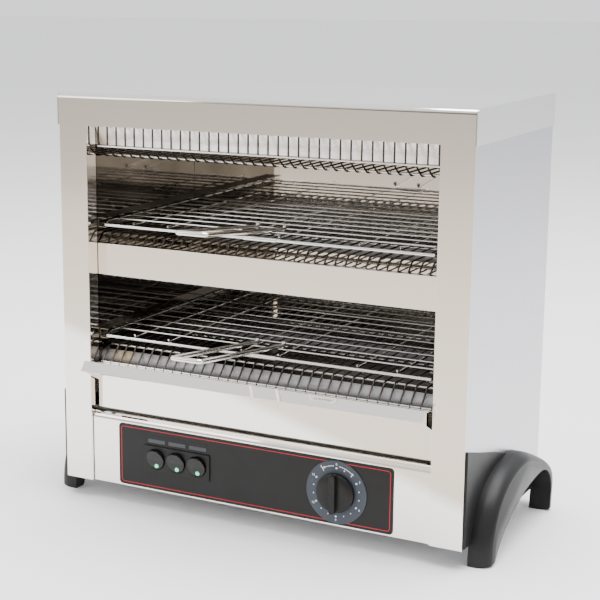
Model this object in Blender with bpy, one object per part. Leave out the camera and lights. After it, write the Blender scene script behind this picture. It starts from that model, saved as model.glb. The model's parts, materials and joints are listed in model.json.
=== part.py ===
"""Two-deck tube toaster: a sheet-steel casing on two arched plastic feet, with six quartz heating tubes,
wire guards, two sliding wire racks with bent handles, a crumb tray, three lit rocker switches and a timer.

Metres, +Z up, +X to the user's right, the user's side towards -Y. The origin is on the floor, in the middle
of the overall width and depth. Heights are above the floor; depths are measured back from the front plane."""

import math

import bmesh
import bpy
from mathutils import Matrix, Vector

MM = 0.001
GAP = 0.3 * MM

# Overall sizes
COVER_WIDTH = 480.0 * MM
COVER_DEPTH = 241.5 * MM
COVER_TOP = 459.4 * MM
COVER_LIP = 34.9 * MM
COVER_BEND = 5.5 * MM
COVER_SHEET = 1.0 * MM
OVERHANG = COVER_SHEET + GAP
BODY_BOTTOM = 21.0 * MM
SHEET = 1.2 * MM

BODY_HALF = COVER_WIDTH / 2 - OVERHANG
BODY_DEPTH = COVER_DEPTH - 2 * OVERHANG
POST_INNER = 203.5 * MM
POST_RETURN = 17.7 * MM
REAR_FLANGE = 12.0 * MM

# The lower grip in front of the front plane and the gland behind the cover set the overall depth
GRIP_REACHES = {"lower": 132.5 * MM, "upper": 121.6 * MM}
HANDLE_WIRE = 5.0 * MM
GLAND_REACH = 13.0 * MM
FRONT = (GRIP_REACHES["lower"] + HANDLE_WIRE / 2 - BODY_DEPTH - OVERHANG - GLAND_REACH) / 2

# Chamber
CHAMBER_HALF = POST_INNER - 0.1 * MM
CHAMBER_REAR = 231.0 * MM
WALL_START = 18.2 * MM
WALL_TOP = 440.0 * MM
CASE_TOP = COVER_TOP - COVER_BEND - 1.0 * MM
SHIELD_TOP = 104.8 * MM
DECK_PITCH = 126.0 * MM
CROSSBAR_FACE = 18.0 * MM
CROSSBAR_LOW = 258.0 * MM
CROSSBAR_HIGH = 293.0 * MM

# Heating tubes: (name, depth, height) of each axis
TUBE_RADIUS = 8.5 * MM
REAR_TUBE = 197.0 * MM
TUBES = (
    ("bottom_front_tube", 31.6 * MM, 160.8 * MM),
    ("bottom_rear_tube", REAR_TUBE, 160.8 * MM),
    ("middle_front_tube", 41.0 * MM, 279.0 * MM),
    ("middle_rear_tube", REAR_TUBE, 279.0 * MM),
    ("top_front_tube", 38.0 * MM, 406.0 * MM),
    ("top_rear_tube", REAR_TUBE, 406.0 * MM),
)
TUBE_HOLE = 10.0 * MM
CAP_RADIUS = 11.0 * MM
CAP_LENGTH = 18.0 * MM
CAP_START = 205.5 * MM

# Guards
GUARD_PITCH = 11.6 * MM
GUARD_WIRES = 35
GUARD_WIRE = 2.0 * MM
GUARD_ROD = 2.6 * MM
GUARD_REAR = 227.0 * MM
GUARD_HALF = CHAMBER_HALF - GAP

# Racks
RACK_HEIGHT = 189.2 * MM
RACK_THICK = 6.8 * MM
RACK_HALF = 196.0 * MM
RACK_WIRE = 3.0 * MM
RACK_ROD = 4.0 * MM
RACK_FRONT = 20.0 * MM
RACK_SECOND = 45.5 * MM
RACK_PITCH = 26.0 * MM
RACK_REAR = 226.5 * MM
RACK_LONG_WIRES = (22.0 * MM, 113.0 * MM, 157.0 * MM, RACK_HALF - RACK_WIRE / 2)
RUNNER_INNER = 192.0 * MM
RUNNER_HEIGHT = 11.0 * MM
RUNNER_SHEET = 1.0 * MM
HANDLE_HALF = 16.0 * MM
GRIP_RISES = {"lower": 28.8 * MM, "upper": 25.0 * MM}

# Crumb tray
TRAY_FACE = 11.6 * MM
TRAY_HALF = 200.5 * MM
TRAY_PULL_HALF = 201.5 * MM
TRAY_PAN_HALF = 193.5 * MM
TRAY_BOTTOM = SHIELD_TOP + GAP
TRAY_WALL = 12.0 * MM
TRAY_FRONT_LOW = 106.5 * MM
TRAY_FRONT_HIGH = 158.0 * MM
PULL_TOP = (-14.5 * MM, 165.0 * MM)
PULL_EDGE = (-22.5 * MM, 155.0 * MM)

# Control panel
PANEL_FACE = 3.0 * MM
PANEL_TOP = 103.0 * MM
PANEL_BULLNOSE = 7.0 * MM
OVERLAY_THICK = 0.5 * MM
OVERLAY_X = (-168.3 * MM, 163.5 * MM)
OVERLAY_Z = (23.6 * MM, 94.5 * MM)
SWITCH_X = (-118.9 * MM, -92.7 * MM, -66.5 * MM)
SWITCH_HEIGHT = 59.3 * MM
SWITCH_RADIUS = 11.0 * MM
SWITCH_PLATE_HALF = (41.7 * MM, 14.9 * MM)
LAMP_RADIUS = 2.3 * MM
LAMP_OFFSET = (1.2 * MM, -7.2 * MM)
TIMER = (100.3 * MM, 59.0 * MM)
DIAL_RADIUS = 34.2 * MM
KNOB_RADIUS = 21.3 * MM
SHAFT_RADIUS = 3.0 * MM

# Feet
FOOT_OUTER = 262.5 * MM
FOOT_PLATE = 2.5 * MM
FOOT_FLANK = (18.0 * MM, 11.0 * MM)
FOOT_SOLE_RISE = 3.5 * MM

# Cord entry: the gland in the rear panel and the terminal block behind it
GLAND_X = 185.0 * MM
GLAND_HEIGHT = 45.0 * MM

STEEL = ((0.62, 0.60, 0.56), 0.12, 1.0)
BRUSHED = ((0.60, 0.60, 0.62), 0.35, 1.0)
WIRE = ((0.55, 0.52, 0.48), 0.25, 1.0)
BLACK = ((0.03, 0.03, 0.03), 0.45, 0.0)


def y_at(depth):
    """World y of a point this far behind the front plane."""
    return FRONT + depth


def clear_scene():
    for thing in list(bpy.data.objects):
        bpy.data.objects.remove(thing)


def paint(thing, look):
    """Gives an object its own Principled material from (colour, roughness, metallic)."""
    colour, roughness, metallic = look
    material = bpy.data.materials.new(thing.name)
    material.use_nodes = True
    shader = material.node_tree.nodes["Principled BSDF"]
    shader.inputs["Base Color"].default_value = (*colour, 1.0)
    shader.inputs["Roughness"].default_value = roughness
    shader.inputs["Metallic"].default_value = metallic
    thing.data.materials.append(material)


def make_object(name, mesh_data, look=None, place=None):
    thing = bpy.data.objects.new(name, mesh_data)
    bpy.context.scene.collection.objects.link(thing)
    if place is not None:
        thing.location = place
    if look is not None:
        paint(thing, look)
    return thing


def object_from(bm, name, look=None, place=None):
    """Turns a bmesh, given in its own frame, into an object at place."""
    bmesh.ops.recalc_face_normals(bm, faces=bm.faces)
    data = bpy.data.meshes.new(name)
    bm.to_mesh(data)
    bm.free()
    data.shade_smooth()
    data.set_sharp_from_angle(angle=math.radians(35))
    return make_object(name, data, look, place)


def helper(thing):
    """Marks a cutter, which shapes another object and is left out of the part itself."""
    thing.hide_render = True
    thing.display_type = "WIRE"
    return thing


def combine(thing, other, operation):
    step = thing.modifiers.new(operation.lower() + "_" + other.name, "BOOLEAN")
    step.operation = operation
    step.object = helper(other)
    step.solver = "EXACT"


def add_box(bm, low, high):
    centre = (Vector(low) + Vector(high)) / 2
    size = Vector(high) - Vector(low)
    place = Matrix.Translation(centre) @ Matrix.Diagonal((*size, 1.0))
    bmesh.ops.create_cube(bm, size=1.0, matrix=place)


def box(name, low, high, look=None):
    bm = bmesh.new()
    add_box(bm, low, high)
    return object_from(bm, name, look)


def add_cylinder(bm, start, end, radius, sides, end_radius=None):
    """A closed cylinder or cone between two points."""
    start, end = Vector(start), Vector(end)
    run = end - start
    turn = Vector((0, 0, 1)).rotation_difference(run).to_matrix().to_4x4()
    bmesh.ops.create_cone(
        bm,
        cap_ends=True,
        segments=sides,
        radius1=radius,
        radius2=radius if end_radius is None else end_radius,
        depth=run.length,
        matrix=Matrix.Translation((start + end) / 2) @ turn,
    )


def cylinder(name, start, end, radius, sides, look=None, end_radius=None):
    bm = bmesh.new()
    add_cylinder(bm, start, end, radius, sides, end_radius)
    return object_from(bm, name, look)


def bore(thing, start, end, radius, sides=24):
    combine(thing, cylinder(thing.name + "_bore", start, end, radius, sides), "DIFFERENCE")


def add_prism(bm, outline, axis, start, end):
    """Extrudes a closed outline of points in the plane across axis (0 for X, 1 for Y, 2 for Z)."""
    place = {
        0: lambda p, q, s: (s, p, q),
        1: lambda p, q, s: (p, s, q),
        2: lambda p, q, s: (p, q, s),
    }[axis]
    face = bm.faces.new([bm.verts.new(place(p, q, start)) for p, q in outline])
    run = Vector((0, 0, 0))
    run[axis] = end - start
    moved = bmesh.ops.extrude_face_region(bm, geom=[face])["geom"]
    bmesh.ops.translate(bm, vec=run, verts=[v for v in moved if isinstance(v, bmesh.types.BMVert)])


def prism(name, outline, axis, start, end, look=None):
    bm = bmesh.new()
    add_prism(bm, outline, axis, start, end)
    return object_from(bm, name, look)


def arc(centre, radius, start, end, steps):
    """Points on an arc, angles in degrees, both ends included."""
    angles = [math.radians(start + (end - start) * i / steps) for i in range(steps + 1)]
    return [(centre[0] + radius * math.cos(a), centre[1] + radius * math.sin(a)) for a in angles]


def bezier(p0, p1, p2, p3, steps):
    """Points on a cubic curve, both ends included."""
    points = []
    for i in range(steps + 1):
        t = i / steps
        a, b, c, d = (1 - t) ** 3, 3 * t * (1 - t) ** 2, 3 * t * t * (1 - t), t**3
        points.append(tuple(a * p0[k] + b * p1[k] + c * p2[k] + d * p3[k] for k in (0, 1)))
    return points


def rounded_box_outline(low, high, radius, steps=4):
    """A rectangle with round corners, as points in order."""
    (x0, z0), (x1, z1) = low, high
    corners = ((x1, z1, 0), (x0, z1, 90), (x0, z0, 180), (x1, z0, 270))
    points = []
    for x, z, turn in corners:
        centre = (x - math.copysign(radius, x - (x0 + x1) / 2), z - math.copysign(radius, z - (z0 + z1) / 2))
        points += arc(centre, radius, turn, turn + 90, steps)
    return points


def sheet_metal(name, faces, thickness, look):
    """Thickens a sheet's outer skin inwards into one closed sheet. faces are lists of points, and the skin
    shows on the side from which the first of them runs anticlockwise."""
    bm = bmesh.new()
    for face in faces:
        bm.faces.new([bm.verts.new(p) for p in face])
    bmesh.ops.remove_doubles(bm, verts=bm.verts, dist=0.01 * MM)
    bm.faces.ensure_lookup_table()
    bm.normal_update()
    outwards = bm.faces[0].normal.copy()
    bmesh.ops.recalc_face_normals(bm, faces=bm.faces)
    if bm.faces[0].normal.dot(outwards) < 0:
        bmesh.ops.reverse_faces(bm, faces=bm.faces)
    data = bpy.data.meshes.new(name)
    bm.to_mesh(data)
    bm.free()
    thing = make_object(name, data, look)
    solid = thing.modifiers.new("sheet", "SOLIDIFY")
    solid.solidify_mode = "NON_MANIFOLD"
    solid.nonmanifold_thickness_mode = "CONSTRAINTS"
    solid.thickness = thickness
    solid.offset = -1.0
    return thing


def folded_sheet(name, profile, axis, start, end, thickness, look):
    """A sheet bent along a profile and as long as start to end on axis, with its skin on the profile.
    Along X, the skin of a run that goes down faces the front. Along Z, from the top to the bottom, the
    skin of a run that goes left faces the front."""
    place = {0: lambda p, q, s: (s, p, q), 2: lambda p, q, s: (p, q, s)}[axis]
    faces = []
    for (p0, q0), (p1, q1) in zip(profile, profile[1:]):
        faces.append([place(p0, q0, start), place(p1, q1, start), place(p1, q1, end), place(p0, q0, end)])
    return sheet_metal(name, faces, thickness, look)


def bent_wire(name, points, radius, look, sides=3):
    """A round wire through points, with flat ends."""
    path = bpy.data.curves.new(name, "CURVE")
    path.dimensions = "3D"
    path.bevel_depth = radius
    path.bevel_resolution = sides - 1
    path.use_fill_caps = True
    line = path.splines.new("POLY")
    line.points.add(len(points) - 1)
    for point, place in zip(line.points, points):
        point.co = (*place, 1.0)
    return make_object(name, path, look)


def round_corners(points, radius, steps):
    """Replaces each inner corner of a path by an arc-like curve that starts and ends radius away from it."""
    points = [Vector(p) for p in points]
    path = [points[0]]
    for before, corner, after in zip(points, points[1:], points[2:]):
        start = corner + (before - corner).normalized() * radius
        end = corner + (after - corner).normalized() * radius
        for i in range(steps + 1):
            t = i / steps
            path.append(start * (1 - t) ** 2 + corner * 2 * t * (1 - t) + end * t**2)
    return path + [points[-1]]


def lattice(name, columns, rows, path, thickness, look):
    """A welded wire mat as one closed solid.

    columns are (centre, width) of the wires that follow the path, in x. rows are (start, end) along the
    path where a cross rod fills the whole width. path is a list of (distance, (depth, height)) stations."""
    edges_x = sorted(x for centre, width in columns for x in (centre - width / 2, centre + width / 2))
    stations = sorted({round(s, 7) for s, _ in path} | {round(s, 7) for row in rows for s in row})

    def point(x, s):
        for (s0, p0), (s1, p1) in zip(path, path[1:]):
            if s <= s1 + 1e-7:
                t = (s - s0) / (s1 - s0)
                return (x, y_at(p0[0] + (p1[0] - p0[0]) * t), p0[1] + (p1[1] - p0[1]) * t)
        return (x, y_at(path[-1][1][0]), path[-1][1][1])

    faces = []
    for i, (x0, x1) in enumerate(zip(edges_x, edges_x[1:])):
        for s0, s1 in zip(stations, stations[1:]):
            on_rod = any(a - 1e-7 <= s0 and s1 <= b + 1e-7 for a, b in rows)
            if i % 2 == 0 or on_rod:
                faces.append([point(x0, s0), point(x1, s0), point(x1, s1), point(x0, s1)])
    mat = sheet_metal(name, faces, thickness, look)
    mat.modifiers["sheet"].offset = 0.0
    return mat


def path_stations(points):
    """(distance along, point) for each point of a polyline."""
    run, stations = 0.0, [(0.0, points[0])]
    for before, after in zip(points, points[1:]):
        run += math.dist(before, after)
        stations.append((run, after))
    return stations


# Casing


def top_cover():
    """A lid with four folded flaps, open at the corners, and a soft bend along its front edge."""
    half, low, high = COVER_WIDTH / 2, COVER_TOP - COVER_LIP, COVER_TOP
    front, rear = y_at(-OVERHANG), y_at(BODY_DEPTH + OVERHANG)
    flap = half - OVERHANG
    bend = arc((front + COVER_BEND, high - COVER_BEND), COVER_BEND, 90, 180, 5)
    top = [(x, bend[0][0], high) for x in (-half, -flap, flap, half)]
    faces = [top + [(x, rear, high) for x in (half, flap, -flap, -half)]]
    for (y0, z0), (y1, z1) in zip(bend, bend[1:] + [(front, low)]):
        faces.append([(-flap, y0, z0), (-flap, y1, z1), (flap, y1, z1), (flap, y0, z0)])
    faces.append([(flap, rear, high), (flap, rear, low), (-flap, rear, low), (-flap, rear, high)])
    for side in (-1, 1):
        flank = [(side * half, y, z) for y, z in bend + [(front, low), (rear, low), (rear, high)]]
        faces.append(flank if side < 0 else flank[::-1])
    return sheet_metal("top_cover", faces, COVER_SHEET, STEEL)


def side_panel(side, name):
    """One folded sheet: the inner return, the front post, the side and the rear flange."""
    rear = y_at(BODY_DEPTH)
    profile = [
        (side * POST_INNER, y_at(POST_RETURN)),
        (side * POST_INNER, y_at(0)),
        (side * BODY_HALF, y_at(0)),
        (side * BODY_HALF, rear),
        (side * (BODY_HALF - REAR_FLANGE), rear),
    ]
    if side > 0:
        profile.reverse()
    return folded_sheet(name, profile, 2, CASE_TOP, BODY_BOTTOM, SHEET, BRUSHED)


def slots(name, columns, rows, size, normal_axis, at, reach):
    """Cutter for a grid of slots. columns and rows are their centres; size is (width, height)."""
    bm = bmesh.new()
    for p in columns:
        for q in rows:
            low, high = [p - size[0] / 2, q - size[1] / 2], [p + size[0] / 2, q + size[1] / 2]
            low.insert(normal_axis, at - reach)
            high.insert(normal_axis, at + reach)
            add_box(bm, low, high)
    return object_from(bm, name)


def rear_panel():
    y = y_at(BODY_DEPTH) - SHEET - GAP
    half = BODY_HALF - SHEET - GAP
    low, high = BODY_BOTTOM + 2 * MM, CASE_TOP
    panel = box("rear_panel", (-half, y - SHEET, low), (half, y, high), BRUSHED)
    columns = [(i - 3.5) * 50 * MM for i in range(8)]
    rows = [h * MM for h in (62, 74, 86, 376, 388, 400)]
    combine(panel, slots("rear_panel_slots", columns, rows, (36 * MM, 3.5 * MM), 1, y, 5 * MM), "DIFFERENCE")
    bore(panel, (GLAND_X, y - 9 * MM, GLAND_HEIGHT), (GLAND_X, y + 9 * MM, GLAND_HEIGHT), 8.3 * MM)
    return panel


def base_plate():
    half = BODY_HALF - SHEET - GAP
    start, end = y_at(POST_RETURN) + GAP, y_at(BODY_DEPTH) - 2 * SHEET - 2 * GAP
    plate = box("base_plate", (-half, start, BODY_BOTTOM), (half, end, BODY_BOTTOM + SHEET), BRUSHED)
    columns = [(i - 2.5) * 60 * MM for i in range(6)]
    rows = [y_at(d * MM) for d in (70, 90, 110)]
    cutter = slots("base_plate_slots", columns, rows, (40 * MM, 5 * MM), 2, BODY_BOTTOM, 5 * MM)
    combine(plate, cutter, "DIFFERENCE")
    return plate


def electrics_shield():
    """The floor of the heated space, above the wiring."""
    half = BODY_HALF - SHEET - GAP
    low = (-half, y_at(WALL_START), SHIELD_TOP - SHEET)
    high = (half, y_at(BODY_DEPTH) - 2 * SHEET - 2 * GAP, SHIELD_TOP)
    return box("electrics_shield", low, high, BRUSHED)


def inner_wall(side, name):
    inner = side * CHAMBER_HALF
    outer = side * (CHAMBER_HALF + SHEET)
    low = (min(inner, outer), y_at(WALL_START), SHIELD_TOP + GAP)
    high = (max(inner, outer), y_at(CHAMBER_REAR + 3.5 * MM), WALL_TOP)
    wall = box(name, low, high, STEEL)
    bm = bmesh.new()
    for _, depth, height in TUBES:
        ends = [(side * x, y_at(depth), height) for x in (CHAMBER_HALF - 5 * MM, CHAMBER_HALF + 6 * MM)]
        add_cylinder(bm, *ends, TUBE_HOLE, 20)
    combine(wall, object_from(bm, name + "_holes"), "DIFFERENCE")
    return wall


def chamber_back_wall():
    half = CHAMBER_HALF - GAP
    low = (-half, y_at(CHAMBER_REAR), SHIELD_TOP + GAP)
    return box("chamber_back_wall", low, (half, y_at(CHAMBER_REAR) + SHEET, 420 * MM), STEEL)


def top_reflector():
    """Bright sheet over the top tubes, folded down in front of them and sloped at the back."""
    half = CHAMBER_HALF - GAP
    profile = [
        (y_at(27.0 * MM), 402.0 * MM),
        (y_at(16.8 * MM), 426.0 * MM),
        (y_at(24.0 * MM), 436.0 * MM),
        (y_at(204.0 * MM), 436.0 * MM),
        (y_at(CHAMBER_REAR - 1 * MM), 421.0 * MM),
    ]
    return folded_sheet("top_reflector", profile, 0, -half, half, 0.8 * MM, STEEL)


def middle_crossbar():
    """A channel between the decks, open towards the tubes behind it."""
    half = CHAMBER_HALF - GAP
    back = y_at(CROSSBAR_FACE + 8 * MM)
    profile = [
        (back, CROSSBAR_HIGH),
        (y_at(CROSSBAR_FACE), CROSSBAR_HIGH),
        (y_at(CROSSBAR_FACE), CROSSBAR_LOW),
        (back, CROSSBAR_LOW),
    ]
    return folded_sheet("middle_crossbar", profile, 0, -half, half, SHEET, STEEL)


# Heaters and guards


def heating_tubes():
    for name, depth, height in TUBES:
        end = CAP_START + CAP_LENGTH - 4 * MM
        place = (y_at(depth), height)
        glass = ((0.32, 0.31, 0.30), 0.5, 0.0)
        cylinder(name, (-end, *place), (end, *place), TUBE_RADIUS, 20, glass)
        for side, word in ((-1, "left"), (1, "right")):
            ceramic = ((0.80, 0.77, 0.70), 0.7, 0.0)
            start, stop = side * CAP_START, side * (CAP_START + CAP_LENGTH)
            cap = cylinder(f"{name}_{word}_cap", (start, *place), (stop, *place), CAP_RADIUS, 16, ceramic)
            mouth = side * (CAP_START - 2 * MM)
            bore(cap, (mouth, *place), (side * (end + GAP), *place), TUBE_RADIUS + GAP, 20)


def guard(name, points, rods):
    """A heater guard: wires along the path of points, over cross rods centred at the given distances."""
    middle = (GUARD_WIRES - 1) / 2
    columns = [((i - middle) * GUARD_PITCH, GUARD_WIRE) for i in range(GUARD_WIRES)]
    stations = path_stations(points)
    length = stations[-1][0]
    rows = [(max(0.0, s - GUARD_ROD / 2), min(length, s + GUARD_ROD / 2)) for s in rods(length)]
    return lattice(name, columns, rows, stations, GUARD_WIRE, WIRE)


def guards():
    bottom = [(13.4 * MM, 158.0 * MM), (31.4 * MM, 176.0 * MM), (GUARD_REAR, 176.0 * MM)]
    guard("bottom_guard", bottom, lambda end: (GUARD_ROD / 2, 28 * MM, 112 * MM, end - GUARD_ROD / 2))
    lower = [(21.0 * MM, 256.0 * MM), (GUARD_REAR, 256.0 * MM)]
    guard("middle_lower_guard", lower, lambda end: (GUARD_ROD / 2, 90 * MM, end - GUARD_ROD / 2))
    upper = [(28.5 * MM, 291.0 * MM), (39.0 * MM, 301.5 * MM), (GUARD_REAR, 301.5 * MM)]
    guard("middle_upper_guard", upper, lambda end: (GUARD_ROD / 2, 95 * MM, end - GUARD_ROD / 2))
    top = [(14.4 * MM, 425.0 * MM), (14.4 * MM, 400.0 * MM), (29.0 * MM, 389.0 * MM), (GUARD_REAR, 389.0 * MM)]
    guard("top_guard", top, lambda end: (GUARD_ROD / 2, 23 * MM, 45.3 * MM, 130 * MM, end - GUARD_ROD / 2))


# Racks


def rack(name, height):
    """A wire rack, given flat: cross wires, long wires and the thicker rod along the front."""
    long_wires = sorted([-x for x in RACK_LONG_WIRES] + list(RACK_LONG_WIRES))
    columns = [(x, RACK_WIRE) for x in long_wires]
    points = [(RACK_FRONT - RACK_ROD / 2, height), (RACK_REAR, height)]
    length = RACK_REAR - points[0][0]
    rows = [(0.0, RACK_ROD)]
    crossing = RACK_SECOND
    while crossing < RACK_REAR - RACK_PITCH / 2:
        start = crossing - points[0][0]
        rows.append((start - RACK_WIRE / 2, start + RACK_WIRE / 2))
        crossing += RACK_PITCH
    rows.append((length - RACK_WIRE, length))
    return lattice(name, columns, rows, path_stations(points), RACK_THICK, WIRE)


def rack_handle(word, height):
    """A bent wire: two short hooks behind the second cross wire, two legs and the grip they end in."""
    foot = height + RACK_THICK / 2 + GAP + HANDLE_WIRE / 2
    grip = height + GRIP_RISES[word]
    reach = GRIP_REACHES[word]
    corners = []
    for side in (-1, 1):
        x = side * HANDLE_HALF
        leg = [(x, y_at(RACK_SECOND), foot + 4.5 * MM), (x, y_at(RACK_SECOND), foot), (x, y_at(-reach), grip)]
        corners += leg if side < 0 else leg[::-1]
    return bent_wire(f"{word}_rack_handle", round_corners(corners, 4 * MM, 3), HANDLE_WIRE / 2, WIRE)


def runner(name, side, height):
    """A channel on the chamber wall, open towards the middle, that the rack's edge slides in."""
    web = side * (CHAMBER_HALF - GAP)
    edge = side * RUNNER_INNER
    low = height - RACK_THICK / 2 - GAP - RUNNER_SHEET
    outline = [
        (edge, low),
        (web, low),
        (web, low + RUNNER_HEIGHT),
        (edge, low + RUNNER_HEIGHT),
        (edge, low + RUNNER_HEIGHT - RUNNER_SHEET),
        (web - side * RUNNER_SHEET, low + RUNNER_HEIGHT - RUNNER_SHEET),
        (web - side * RUNNER_SHEET, low + RUNNER_SHEET),
        (edge, low + RUNNER_SHEET),
    ]
    return prism(name, outline, 1, y_at(WALL_START + 1 * MM), y_at(CHAMBER_REAR - 2 * MM), STEEL)


def racks():
    for word, height in (("lower", RACK_HEIGHT), ("upper", RACK_HEIGHT + DECK_PITCH)):
        rack(f"{word}_rack", height)
        rack_handle(word, height)
        runner(f"{word}_left_runner", -1, height)
        runner(f"{word}_right_runner", 1, height)


# Crumb tray


def crumb_tray():
    half = TRAY_PAN_HALF
    front, rear = y_at(TRAY_FACE) + SHEET + GAP, y_at(CHAMBER_REAR - 6 * MM)
    low, high = TRAY_BOTTOM, TRAY_BOTTOM + TRAY_WALL
    floor = [(-half, front, low), (-half, rear, low), (half, rear, low), (half, front, low)]
    walls = []
    for (x0, y0, _), (x1, y1, _) in zip(floor, floor[1:] + floor[:1]):
        walls.append([(x0, y0, low), (x0, y0, high), (x1, y1, high), (x1, y1, low)])
    return sheet_metal("crumb_tray", [floor] + walls, 1.0 * MM, BRUSHED)


def crumb_tray_front():
    """The tray's front panel, with the folded pull along its top edge and a gusset at each end of it."""
    face = y_at(TRAY_FACE)
    pull_top = (y_at(PULL_TOP[0]), PULL_TOP[1])
    pull_edge = (y_at(PULL_EDGE[0]), PULL_EDGE[1])
    panel = [(face, TRAY_FRONT_HIGH), (face, TRAY_FRONT_LOW)]
    thing = folded_sheet("crumb_tray_front", panel, 0, -TRAY_HALF, TRAY_HALF, SHEET, STEEL)
    ledge = [(face + SHEET, TRAY_FRONT_HIGH - SHEET / 2), pull_top, pull_edge]
    pull = folded_sheet("tray_pull", ledge, 0, -TRAY_PULL_HALF, TRAY_PULL_HALF, SHEET, STEEL)
    combine(thing, pull, "UNION")
    for side in (-1, 1):
        inner = TRAY_HALF - SHEET
        gusset = [
            (face + SHEET / 2, TRAY_FRONT_HIGH - 21 * MM),
            (face + SHEET / 2, TRAY_FRONT_HIGH - SHEET),
            (pull_top[0] + 0.7 * MM, pull_top[1] - SHEET),
            (pull_edge[0] + 1.1 * MM, pull_edge[1] + 0.4 * MM),
        ]
        tab = prism("tray_gusset", gusset, 0, side * inner, side * TRAY_HALF)
        combine(thing, tab, "UNION")
    return thing


# Controls


def control_panel():
    """The polished front of the wiring space, with a round top edge and openings for the controls."""
    face, half = y_at(PANEL_FACE), POST_INNER - 2 * GAP
    bottom = BODY_BOTTOM + 0.5 * MM
    nose = arc((face + PANEL_BULLNOSE, PANEL_TOP - PANEL_BULLNOSE), PANEL_BULLNOSE, 90, 180, 5)
    profile = [(face + 14.5 * MM, PANEL_TOP)] + nose + [(face, bottom), (face + 12 * MM, bottom)]
    panel = folded_sheet("control_panel", profile, 0, -half, half, SHEET, STEEL)
    opening = switch_opening("control_panel_opening")
    combine(panel, opening, "DIFFERENCE")
    shaft_bore(panel)
    return panel


def switch_opening(name):
    """Cutter for the window that the three switches share."""
    middle, (half_x, half_z) = SWITCH_X[1], SWITCH_PLATE_HALF
    edge = 1.4 * MM
    low = (middle - half_x + edge, y_at(-6 * MM), SWITCH_HEIGHT - half_z + edge)
    return box(name, low, (middle + half_x - edge, y_at(8 * MM), SWITCH_HEIGHT + half_z - edge))


def shaft_bore(thing):
    ends = [(TIMER[0], y_at(depth), TIMER[1]) for depth in (-6 * MM, 10 * MM)]
    bore(thing, *ends, SHAFT_RADIUS + 1.2 * MM, 20)


def control_overlay():
    back = y_at(PANEL_FACE) - GAP
    outline = rounded_box_outline((OVERLAY_X[0], OVERLAY_Z[0]), (OVERLAY_X[1], OVERLAY_Z[1]), 4 * MM)
    overlay = prism("control_overlay", outline, 1, back - OVERLAY_THICK, back, BLACK)
    combine(overlay, switch_opening("control_overlay_opening"), "DIFFERENCE")
    shaft_bore(overlay)
    return overlay


def overlay_face():
    """World y just in front of the overlay, where the pieces on it start."""
    return y_at(PANEL_FACE) - OVERLAY_THICK - 2 * GAP


def switch_plate():
    back, (half_x, half_z) = overlay_face(), SWITCH_PLATE_HALF
    middle = SWITCH_X[1]
    outline = rounded_box_outline(
        (middle - half_x, SWITCH_HEIGHT - half_z), (middle + half_x, SWITCH_HEIGHT + half_z), 1.5 * MM, 2
    )
    plate = prism("switch_plate", outline, 1, back - 1.5 * MM, back, BLACK)
    bm = bmesh.new()
    for x in SWITCH_X:
        ends = [(x, back + s * 4 * MM, SWITCH_HEIGHT) for s in (-1, 1)]
        add_cylinder(bm, *ends, SWITCH_RADIUS + 0.8 * MM, 28)
    combine(plate, object_from(bm, "switch_plate_holes"), "DIFFERENCE")
    return plate


def switch_block():
    half = Vector((SWITCH_PLATE_HALF[0] - 1 * MM, 13 * MM, SWITCH_PLATE_HALF[1] - 1 * MM))
    centre = Vector((SWITCH_X[1], y_at(PANEL_FACE) + SHEET + 1.5 * MM + half.y, SWITCH_HEIGHT))
    return box("switch_block", centre - half, centre + half, BLACK)


def switch_button(number, x):
    """A round rocker with a dished face: the lower half is pressed in, and carries the lamp."""
    pivot = Vector((x, overlay_face(), SWITCH_HEIGHT))
    back, hinge_line, top_edge, low_edge = 0.8 * MM, -3.6 * MM, -7.4 * MM, -1.8 * MM
    sides = 28
    ring = arc((0, 0), SWITCH_RADIUS, 0, 360, sides)[:-1]

    def front(z):
        edge = top_edge if z > 0 else low_edge
        return hinge_line + (edge - hinge_line) * abs(z) / SWITCH_RADIUS

    bm = bmesh.new()
    rear_ring = [bm.verts.new((px, back, pz)) for px, pz in ring]
    front_ring = [bm.verts.new((px, front(pz), pz)) for px, pz in ring]
    for i in range(sides):
        j = (i + 1) % sides
        bm.faces.new((rear_ring[i], rear_ring[j], front_ring[j], front_ring[i]))
    bm.faces.new(rear_ring)
    bm.faces.new(front_ring[: sides // 2 + 1])
    bm.faces.new(front_ring[sides // 2 :] + front_ring[:1])
    button = object_from(bm, f"switch_button_{number}", BLACK, pivot)
    lamp_at = pivot + Vector((LAMP_OFFSET[0], 0, LAMP_OFFSET[1]))
    face = front(LAMP_OFFSET[1])
    pocket = [lamp_at + Vector((0, face + step, 0)) for step in (-2 * MM, 2.4 * MM)]
    bore(button, *pocket, LAMP_RADIUS + GAP, 16)
    bm = bmesh.new()
    add_cylinder(bm, (0, 0, 0), (0, -2.2 * MM, 0), LAMP_RADIUS, 16)
    add_cylinder(bm, (0, -2.2 * MM, 0), (0, -2.9 * MM, 0), LAMP_RADIUS, 16, LAMP_RADIUS * 0.6)
    bmesh.ops.remove_doubles(bm, verts=bm.verts, dist=0.001 * MM)
    inner = [f for f in bm.faces if len(f.verts) == 16 and abs(f.calc_center_median().y + 2.2 * MM) < 0.01 * MM]
    bmesh.ops.delete(bm, geom=inner, context="FACES_ONLY")
    green = ((0.10, 0.75, 0.40), 0.3, 0.0)
    object_from(bm, f"switch_lamp_{number}", green, lamp_at + Vector((0, face + 2.0 * MM, 0)))
    return button


def timer_dial():
    back = overlay_face()
    ends = ((TIMER[0], back, TIMER[1]), (TIMER[0], back - 0.8 * MM, TIMER[1]))
    dial = cylinder("timer_dial", *ends, DIAL_RADIUS, 64, ((0.10, 0.11, 0.13), 0.5, 0.0))
    shaft_bore(dial)
    return dial


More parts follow.
